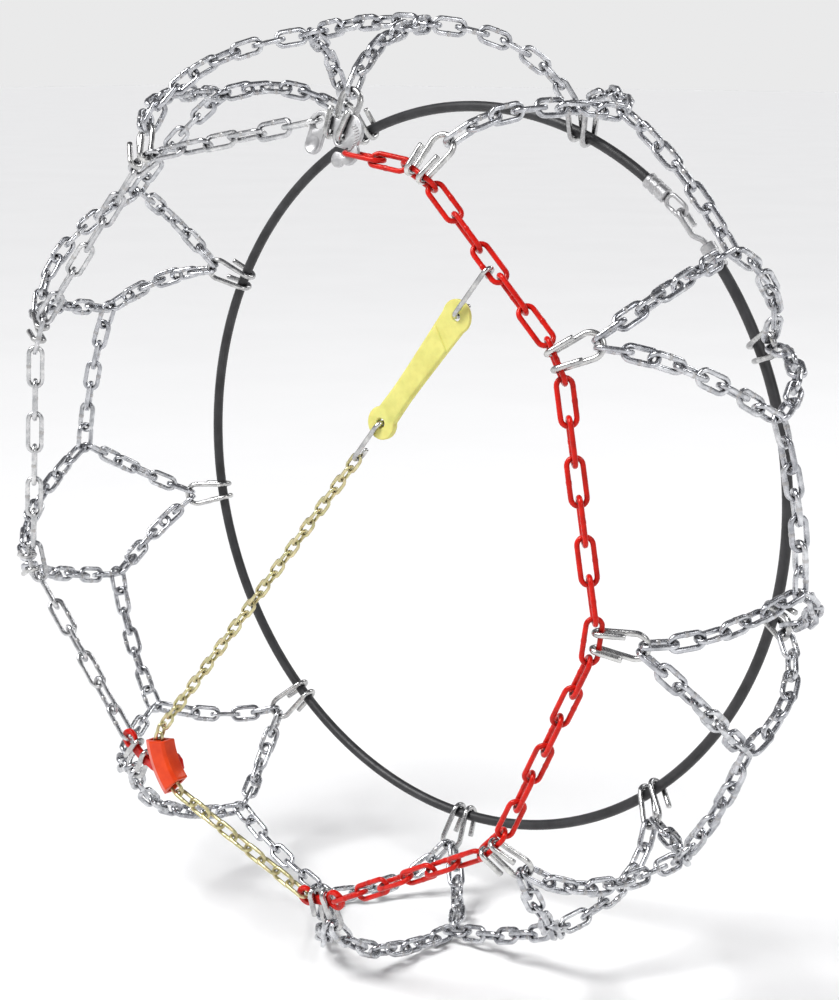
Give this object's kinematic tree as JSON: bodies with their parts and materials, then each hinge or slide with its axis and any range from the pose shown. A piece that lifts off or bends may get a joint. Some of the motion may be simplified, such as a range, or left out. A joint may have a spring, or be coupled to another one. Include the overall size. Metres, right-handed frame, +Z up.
{
  "type": "tire snow chains",
  "caption": "Diamond-pattern snow chain set that grips a car tyre: outer side chain, cross chains, inner cable hoop, tension lock and rubber tensioner.",
  "frame": {"origin": "centre of the wheel that the chain is fitted to, on its axle, in the tyre's mid-plane", "axes": "+Y along the axle towards the vehicle, so the outer face with the coloured side chain looks along -Y; +Z up; +X to the right as the outer face is seen"},
  "size_m": [0.7054, 0.2524, 0.7018],
  "materials": {
    "zinc_tread": "bright zinc plated, hardened",
    "zinc_side": "bright zinc plated",
    "zinc_wire": "zinc plated bent wire",
    "zinc_forged": "satin zinc plated stamping",
    "red_paint": "gloss red paint",
    "gold_passivated": "yellow passivated steel",
    "lock_plastic": "orange-red moulded plastic",
    "strap_rubber": "pale yellow rubber",
    "cable_sheath": "black sheathed steel cable"
  },
  "bodies": {
    "net": {"cross_chain_1": "zinc_tread", "cross_chain_2": "zinc_tread", "cross_chain_3": "zinc_tread", "cross_chain_4": "zinc_tread", "cross_chain_5": "zinc_tread", "cross_chain_6": "zinc_tread", "cross_chain_7": "zinc_tread", "cross_chain_8": "zinc_tread", "outer_hook_1": "zinc_wire", "outer_hook_2": "zinc_wire", "outer_hook_3": "zinc_wire", "outer_hook_4": "zinc_wire", "outer_hook_5": "zinc_wire", "outer_hook_6": "zinc_wire", "outer_hook_7": "zinc_wire", "outer_hook_8": "zinc_wire", "outer_hook_9": "zinc_wire", "outer_hook_10": "zinc_wire", "red_side_chain_2": "red_paint", "cross_chain_first": "zinc_tread", "cross_chain_last": "zinc_tread", "junction_links": "zinc_tread", "inner_cross_chains": "zinc_tread", "red_held_links": "red_paint", "silver_held_links": "zinc_side", "inner_hooks": "zinc_wire", "inner_cable": "cable_sheath", "inner_cable_hook": "zinc_forged", "inner_cable_eye": "zinc_forged", "closing_hook": "zinc_forged", "red_connector": "red_paint", "lock_plate": "red_paint", "lock_body": "lock_plastic", "lock_pin": "zinc_wire"},
    "tread_strand_1": {"tread_strand_1": "zinc_tread"},
    "tread_strand_2": {"tread_strand_2": "zinc_tread"},
    "tread_strand_3": {"tread_strand_3": "zinc_tread"},
    "tread_strand_4": {"tread_strand_4": "zinc_tread"},
    "tread_strand_5": {"tread_strand_5": "zinc_tread"},
    "tread_strand_6": {"tread_strand_6": "zinc_tread"},
    "tread_strand_7": {"tread_strand_7": "zinc_tread"},
    "tread_strand_8": {"tread_strand_8": "zinc_tread"},
    "tread_strand_9": {"tread_strand_9": "zinc_tread"},
    "red_side_chain_1": {"red_side_chain_1": "red_paint"},
    "red_side_chain_3": {"red_side_chain_3": "red_paint"},
    "red_side_chain_4": {"red_side_chain_4": "red_paint"},
    "red_side_chain_5": {"red_side_chain_5": "red_paint"},
    "silver_side_chain_1": {"silver_side_chain_1": "zinc_side"},
    "silver_side_chain_2": {"silver_side_chain_2": "zinc_side"},
    "silver_side_chain_3": {"silver_side_chain_3": "zinc_side"},
    "silver_side_chain_4": {"silver_side_chain_4": "zinc_side"},
    "adjuster_chain": {"adjuster_chain": "gold_passivated"},
    "tension_chain": {"tension_chain": "gold_passivated"},
    "upper_wire_hook": {"upper_wire_hook": "zinc_wire"},
    "rubber_strap": {"rubber_strap": "strap_rubber"},
    "lower_wire_hook": {"lower_wire_hook": "zinc_wire"},
    "lock_pawl": {"lock_pawl": "gold_passivated"}
  },
  "joints": [
    {"name": "tread_strand_1_swing", "type": "hinge", "parent": "net", "child": "tread_strand_1", "pos_m": [0.33717, 0.01034, 0.07763], "axis": [0.0993, 0.1291, -0.9866], "range_deg": [-12, 12]},
    {"name": "tread_strand_2_swing", "type": "hinge", "parent": "net", "child": "tread_strand_2", "pos_m": [0.31232, 0.01037, -0.14891], "axis": [-0.5326, 0.1323, -0.836], "range_deg": [-12, 12]},
    {"name": "tread_strand_3_swing", "type": "hinge", "parent": "net", "child": "tread_strand_3", "pos_m": [0.15374, 0.0103, -0.30996], "axis": [-0.9397, 0.1232, -0.319], "range_deg": [-12, 12]},
    {"name": "tread_strand_4_swing", "type": "hinge", "parent": "net", "child": "tread_strand_4", "pos_m": [-0.07852, 0.0103, -0.33697], "axis": [-0.928, 0.1232, 0.3516], "range_deg": [-12, 12]},
    {"name": "tread_strand_5_swing", "type": "hinge", "parent": "net", "child": "tread_strand_5", "pos_m": [-0.27477, 0.01032, -0.21027], "axis": [-0.496, 0.1261, 0.8591], "range_deg": [-12, 12]},
    {"name": "tread_strand_6_swing", "type": "hinge", "parent": "net", "child": "tread_strand_6", "pos_m": [-0.34586, 0.01032, 0.00951], "axis": [0.1552, 0.1261, 0.9798], "range_deg": [-12, 12]},
    {"name": "tread_strand_7_swing", "type": "hinge", "parent": "net", "child": "tread_strand_7", "pos_m": [-0.26297, 0.01034, 0.22486], "axis": [0.734, 0.1291, 0.6667], "range_deg": [-12, 12]},
    {"name": "tread_strand_8_swing", "type": "hinge", "parent": "net", "child": "tread_strand_8", "pos_m": [-0.06536, 0.008, 0.33976], "axis": [0.9983, 0, 0.0584], "range_deg": [-12, 12]},
    {"name": "tread_strand_9_swing", "type": "hinge", "parent": "net", "child": "tread_strand_9", "pos_m": [0.20992, 0.024, 0.27503], "axis": [0.7059, 0, -0.7083], "range_deg": [-12, 12]},
    {"name": "red_side_chain_1_swing", "type": "hinge", "parent": "net", "child": "red_side_chain_1", "pos_m": [0.07114, -0.11454, 0.25867], "axis": [0.9882, 0.0528, -0.1439], "range_deg": [-6, 6]},
    {"name": "red_side_chain_3_swing", "type": "hinge", "parent": "net", "child": "red_side_chain_3", "pos_m": [0.24964, -0.112, 0.12306], "axis": [0.1779, 0, -0.984], "range_deg": [-9, 9]},
    {"name": "red_side_chain_4_swing", "type": "hinge", "parent": "net", "child": "red_side_chain_4", "pos_m": [0.27297, -0.112, -0.05434], "axis": [-0.4501, 0, -0.893], "range_deg": [-9, 9]},
    {"name": "red_side_chain_5_swing", "type": "hinge", "parent": "net", "child": "red_side_chain_5", "pos_m": [0.1871, -0.112, -0.20605], "axis": [-0.8862, 0.0033, -0.4633], "range_deg": [-9, 9]},
    {"name": "silver_side_chain_1_swing", "type": "hinge", "parent": "net", "child": "silver_side_chain_1", "pos_m": [-0.16416, -0.11179, -0.19839], "axis": [-0.6693, -0.0014, 0.743], "range_deg": [-9, 9]},
    {"name": "silver_side_chain_2_swing", "type": "hinge", "parent": "net", "child": "silver_side_chain_2", "pos_m": [-0.27147, -0.112, -0.06138], "axis": [0.0654, 0, 0.9979], "range_deg": [-9, 9]},
    {"name": "silver_side_chain_3_swing", "type": "hinge", "parent": "net", "child": "silver_side_chain_3", "pos_m": [-0.25067, -0.112, 0.12096], "axis": [0.6756, 0, 0.7373], "range_deg": [-9, 9]},
    {"name": "silver_side_chain_4_swing", "type": "hinge", "parent": "net", "child": "silver_side_chain_4", "pos_m": [-0.11868, -0.112, 0.25175], "axis": [0.9854, 0.0045, 0.17], "range_deg": [-9, 9]},
    {"name": "adjuster_chain_swing", "type": "hinge", "parent": "net", "child": "adjuster_chain", "pos_m": [0.02272, -0.11152, -0.2795], "axis": [-0.9039, -0.0929, 0.4175], "range_deg": [-8, 8]},
    {"name": "tension_chain_swing", "type": "hinge", "parent": "net", "child": "tension_chain", "pos_m": [0.07957, -0.11558, 0.05392], "axis": [-0.6391, -0.0272, -0.7687], "range_deg": [-8, 8]},
    {"name": "upper_wire_hook_roll", "type": "hinge", "parent": "net", "child": "upper_wire_hook", "pos_m": [0.1902, -0.11568, 0.18699], "axis": [-0.6393, 0, -0.7689], "range_deg": [-8, 8]},
    {"name": "rubber_strap_roll", "type": "hinge", "parent": "net", "child": "rubber_strap", "pos_m": [0.16527, -0.11488, 0.157], "axis": [-0.6393, 0, -0.769], "range_deg": [-8, 8]},
    {"name": "lower_wire_hook_roll", "type": "hinge", "parent": "net", "child": "lower_wire_hook", "pos_m": [0.10134, -0.11568, 0.0801], "axis": [-0.6393, 0, -0.769], "range_deg": [-8, 8]},
    {"name": "lock_pawl_turn", "type": "hinge", "parent": "net", "child": "lock_pawl", "pos_m": [-0.11376, -0.1234, -0.2022], "axis": [-0.9217, 0, -0.3879], "range_deg": [0, 14]}
  ]
}
